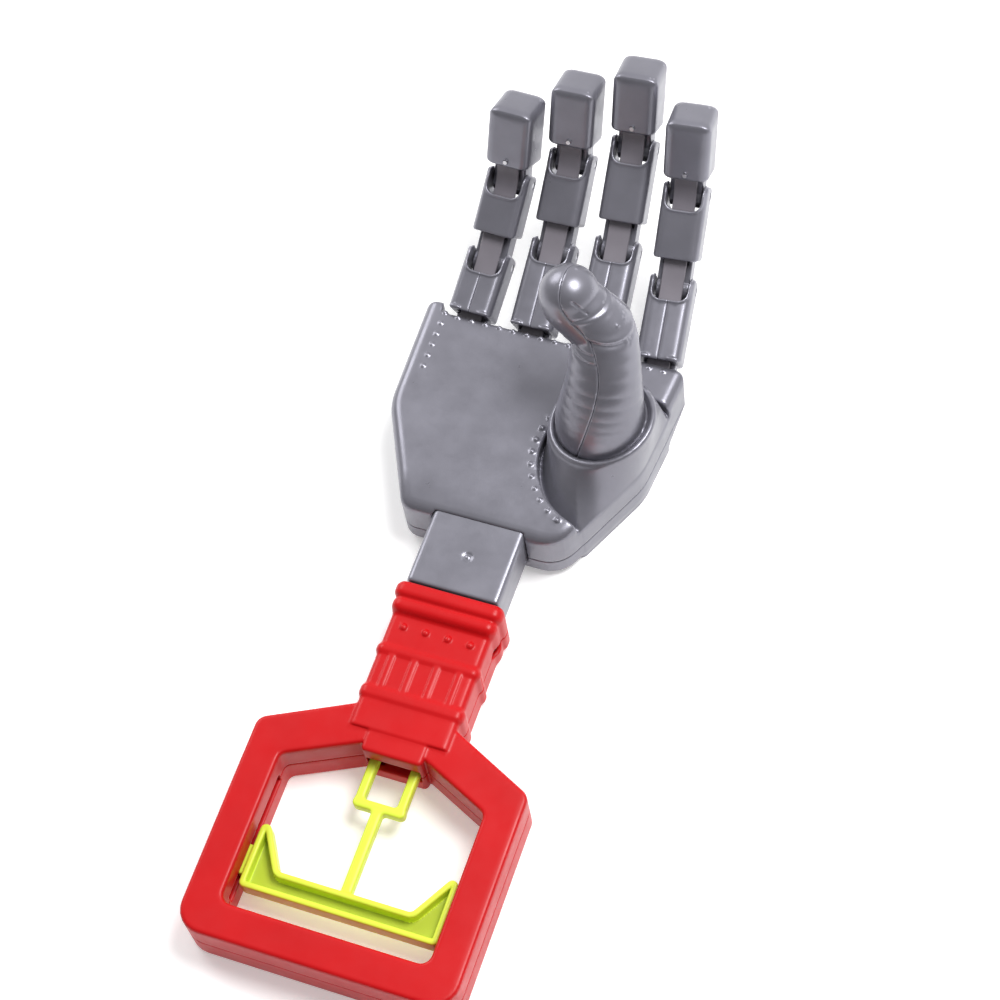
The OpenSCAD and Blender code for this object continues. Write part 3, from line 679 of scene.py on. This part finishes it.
for finger in FINGERS:
    half = FINGER_W / 2
    reach = gap_to(finger, "base", "mid")
    place = phalanx_place(finger, "base")
    for label, side, x0, x1 in (("left", -1, -half, 0), ("right", 1, 0, half)):
        stands_for(mould(f"{finger}_proximal_{label}_half", SILVER,
                         open_phalanx(reach, True, side), (x0, -HUB_R, -DORSAL),
                         (x1, reach + EAR, PALMAR), FINEST, place, PHALANX_DETAIL),
                   f"{finger}_proximal", f"{finger}_proximal_{label}")
    reach = gap_to(finger, "mid", "tip")
    stands_for(mould(f"{finger}_middle_tube", SILVER, open_phalanx(reach, False),
                     (-half, -HUB_R, -DORSAL), (half, reach + EAR, PALMAR), FINEST,
                     phalanx_place(finger, "mid"), PHALANX_DETAIL),
               f"{finger}_middle", f"{finger}_middle")
    stands_for(mould(f"{finger}_fingertip", SILVER, distal,
                     (-half, -HUB_R, -TIP_DORSAL), (half, DISTAL, PALMAR), FINEST,
                     phalanx_place(finger, "tip"), PHALANX_DETAIL),
               f"{finger}_distal", f"{finger}_distal")

# ---------------------------------------------------------------- trigger

TRAY_Z = MID_Z - 2.5
TRAY_H = 5
TRAY_FLOOR = 1.8
TRAY = rounded([(-23.2, 14), (23.2, 14), (23.2, 32.6), (15.5, 19.6), (-15.5, 19.6), (-23.2, 32.6)],
               [1.3, 1.3, 1.3, 1.5, 1.5, 1.3])


def trigger_solid(x, y, z):
    flat = outline(x, y, TRAY)
    d = prism(flat, z, TRAY_Z, TRAY_Z + TRAY_H, 0.45)
    d = cut(d, meet(flat + 1.4, TRAY_Z + TRAY_FLOOR - z, 0.3), 0.3)
    tab = prism(rectangle(np.abs(x), y, 22.4, 24.6, 17, 24, 0.2), z, MID_Z - 1.2, MID_Z + 1.2, 0.2)
    d = union(d, tab, 0.2)
    fork = rectangle(x, y, -1.3, 1.3, 18.6, 40.5, 0.3)
    fork = union(fork, rectangle(x, y, -6, 6, 39.2, 41.4, 1.0), 0.7)
    fork = union(fork, rectangle(np.abs(x), y, 3.8, 6, 40, 68, 0.3), 0.7)
    return union(d, prism(fork, z, MID_Z - 1.5, MID_Z + 1.5, 0.6), 0.5)


pull = mould("trigger_pull", LIME, trigger_solid, (-24.7, 13.9, TRAY_Z),
             (24.7, 68.1, TRAY_Z + TRAY_H), min(FINE, 0.25))
pull.data.materials.append(LIME_PAINTED_SHADE)
# faces of the recess floor take the darker lime of painted shade
for face in pull.data.polygons:
    if face.normal.z > 0.9 and abs((TO_TOY @ face.center).z - TRAY_Z - TRAY_FLOOR) < 0.2:
        face.material_index = 1
stands_for(pull, "trigger", "trigger")

# ---------------------------------------------------------------- draw straps and return spring

STRAP_W = 5.4
STRAP_TAIL_W = 2.6
STRAP_T = 0.7
STRAP_EDGE = 0.15
LIFT = 3.6


def direction(degrees, size=1.0):
    return np.array([math.cos(math.radians(degrees)), math.sin(math.radians(degrees))]) * size


def normal(degrees, size):
    return direction(degrees + 90, size)


def strap_points(finger):
    """Corners of the strap in the finger's plane, measured along and up from the base knuckle."""
    a, b, c = BENDS["base"], BENDS["mid"], BENDS["tip"]
    mid = direction(a, gap_to(finger, "base", "mid"))
    end = mid + direction(b, gap_to(finger, "mid", "tip"))
    return [np.array([-3.4, 1.7]), normal(a / 2, 2), mid + normal((a + b) / 2, LIFT),
            end + normal((b + c) / 2, LIFT), end + direction(c, 11.5) + normal(c, LIFT)]


def smooth_path(points, reach, steps=5):
    """The same path with each corner made a curve that starts and ends reach away from it."""
    made = [points[0]]
    for back, here, on in zip(points, points[1:], points[2:]):
        a = here + (back - here) / np.linalg.norm(back - here) * reach
        b = here + (on - here) / np.linalg.norm(on - here) * reach
        for k in range(steps + 1):
            t = k / steps
            made.append(a * (1 - t) ** 2 + here * 2 * t * (1 - t) + b * t * t)
    return made + [points[-1]]


def finger_plane(finger):
    """Base knuckle's place, its pin's direction and the direction along the finger."""
    base = joint_of(finger, "base")
    pin = np.array(base["axis"])
    return np.array(TO_TOY @ Vector(base["pos_m"])), pin, np.array([-pin[1], pin[0], 0])


def ribbon(name, finger, path, width):
    """Flat strap along a path in the finger's plane, with chamfered edges."""
    at, pin, along = finger_plane(finger)
    w, t = width / 2, STRAP_T / 2
    inner, flat = w - STRAP_EDGE, t - STRAP_EDGE
    section = [(-w, -flat), (-w, flat), (-inner, t), (inner, t),
               (w, flat), (w, -flat), (inner, -t), (-inner, -t)]
    points = []
    for k, here in enumerate(path):
        run = path[min(k + 1, len(path) - 1)] - path[max(k - 1, 0)]
        run = run / np.linalg.norm(run)
        for across, up in section:
            u, h = here + np.array([-run[1], run[0]]) * up
            points.append(at + along * u + pin * across + np.array([0, 0, h]))
    return piece(name, STRAP_GREY, points, swept_faces(len(path), len(section)))


def bending_strap(name, finger, path, corner, joint_reach):
    """Strap over one knuckle, made as one fixed piece in place; it does not bend."""
    made = ribbon(name, finger, path, STRAP_W)
    index = min(range(len(path)), key=lambda k: np.linalg.norm(path[k] - corner))
    run = path[min(index + 2, len(path) - 1)] - path[max(index - 2, 0)]
    run = run / np.linalg.norm(run) * joint_reach
    made.data.set_sharp_from_angle(angle=math.radians(40))
    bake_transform(made)
    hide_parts(f"{finger}_strap")


for finger in FINGERS:
    p = strap_points(finger)
    halves = [(p[1] + p[2]) / 2, (p[2] + p[3]) / 2]
    tail = [np.array([-13.7, -0.65]), np.array([-8, 0.65])]
    stands_for(ribbon(f"{finger}_strap_tail", finger, tail, STRAP_TAIL_W), "trigger",
               f"{finger}_strap")
    lead = [p[0] + (p[0] - p[1]) / np.linalg.norm(p[0] - p[1]) * 4, p[1], halves[0]]
    bending_strap(f"{finger}_strap_base", finger, smooth_path(lead, 2), p[1], 3)
    bending_strap(f"{finger}_strap_middle", finger, smooth_path([halves[0], p[2], halves[1]], 4),
                  p[2], 5)
    bending_strap(f"{finger}_strap_end", finger, smooth_path([halves[1], p[3], p[4]], 4), p[3], 5)

SPRING_Y = (52.55, 65.95)
COIL_R = 2.4
WIRE_R = 0.45
TURNS = 7


def spring():
    steps, sides = TURNS * 20, 8
    start, run = SPRING_Y[0] + WIRE_R, SPRING_Y[1] - SPRING_Y[0] - 2 * WIRE_R
    points = []
    for k in range(steps + 1):
        turn = 2 * math.pi * TURNS * k / steps
        y = start + run * k / steps
        for i in range(sides):
            around = 2 * math.pi * i / sides
            r = COIL_R + WIRE_R * math.cos(around)
            points.append((r * math.cos(turn), y + WIRE_R * math.sin(around),
                           MID_Z + r * math.sin(turn)))
    made = piece("spring", STEEL, points, swept_faces(steps + 1, sides))
    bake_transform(made)
    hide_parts("return_spring")


spring()

# ---------------------------------------------------------------- carried-over nodes

for name, node in frame["nodes"].items():
    if node.hide_render:
        continue
    steel = any(word in name for word in ("screw", "pin", "peg", "spring"))
    node.data.materials.clear()
    node.data.materials.append(STEEL if steel else STRAP_GREY if "strap" in name else GUIDE)

# ---------------------------------------------------------------- room, light and camera

CAMERA_TARGET = Vector((0.0001, 0.0095, 0.010))
CAMERA_DISTANCE = 0.600
CAMERA_AZIMUTH = math.radians(29.07)
CAMERA_ELEVATION = math.radians(61.38)
CAMERA_ROLL = math.radians(-21.2)
CAMERA_LENS = 92.85
SENSOR = 36


def look(direction, roll):
    """Rotation that looks against direction, with the row's +Y turned by roll on the picture."""
    up = (Vector((0, 1, 0)) - direction * direction.y).normalized()
    side = up.cross(direction)
    top = side * math.sin(roll) + up * math.cos(roll)
    return Matrix((top.cross(direction), top, direction)).transposed()


def add_camera():
    direction = Vector((math.sin(CAMERA_AZIMUTH) * math.cos(CAMERA_ELEVATION),
                        -math.cos(CAMERA_AZIMUTH) * math.cos(CAMERA_ELEVATION),
                        math.sin(CAMERA_ELEVATION)))
    data = bpy.data.cameras.new("camera")
    data.lens = CAMERA_LENS
    data.sensor_width = SENSOR
    camera = bpy.data.objects.new("camera", data)
    camera.matrix_world = (Matrix.Translation(CAMERA_TARGET + direction * CAMERA_DISTANCE)
                           @ look(direction, CAMERA_ROLL).to_4x4())
    bpy.context.scene.collection.objects.link(camera)
    bpy.context.scene.camera = camera


def add_light(name, place, size, power, target=(0, 0.02, 0.01)):
    data = bpy.data.lights.new(name, "AREA")
    data.shape = "DISK"
    data.size = size
    data.energy = power
    light = bpy.data.objects.new(name, data)
    light.location = place
    light.rotation_euler = (Vector(place) - Vector(target)).to_track_quat("Z", "Y").to_euler()
    bpy.context.scene.collection.objects.link(light)


def add_floor():
    mesh = bpy.data.meshes.new("floor")
    mesh.from_pydata([(-3, -3, 0), (3, -3, 0), (3, 3, 0), (-3, 3, 0)], [], [(0, 1, 2, 3)])
    material = bpy.data.materials.new("floor")
    material.use_nodes = True
    shader = material.node_tree.nodes["Principled BSDF"]
    shader.inputs["Base Color"].default_value = (0.9, 0.9, 0.9, 1)
    shader.inputs["Roughness"].default_value = 0.8
    shader.inputs["Emission Color"].default_value = (1, 1, 1, 1)
    shader.inputs["Emission Strength"].default_value = 0.3
    mesh.materials.append(material)
    floor = bpy.data.objects.new("floor", mesh)
    bpy.context.scene.collection.objects.link(floor)


def add_world(strength):
    world = bpy.data.worlds.new("studio")
    world.use_nodes = True
    nodes, links = world.node_tree.nodes, world.node_tree.links
    background = nodes["Background"]
    background.inputs["Color"].default_value = (1, 1, 1, 1)
    # the room is dim behind the handle and bright beyond the fingertips
    split = nodes.new("ShaderNodeSeparateXYZ")
    links.new(nodes.new("ShaderNodeTexCoord").outputs["Generated"], split.inputs["Vector"])
    span_y = nodes.new("ShaderNodeMapRange")
    span_y.inputs["From Min"].default_value = -1
    span_y.inputs["To Min"].default_value = 0.15 * strength
    span_y.inputs["To Max"].default_value = 1.85 * strength
    links.new(split.outputs["Y"], span_y.inputs["Value"])
    links.new(span_y.outputs["Result"], background.inputs["Strength"])
    bpy.context.scene.world = world


add_camera()
add_floor()
add_world(0.5)
add_light("key", (0.25, 0.15, 0.7), 0.35, 5.5)
add_light("fill", (-0.6, 0.35, 0.5), 0.5, 2.6)
bpy.context.scene.view_settings.view_transform = "Standard"
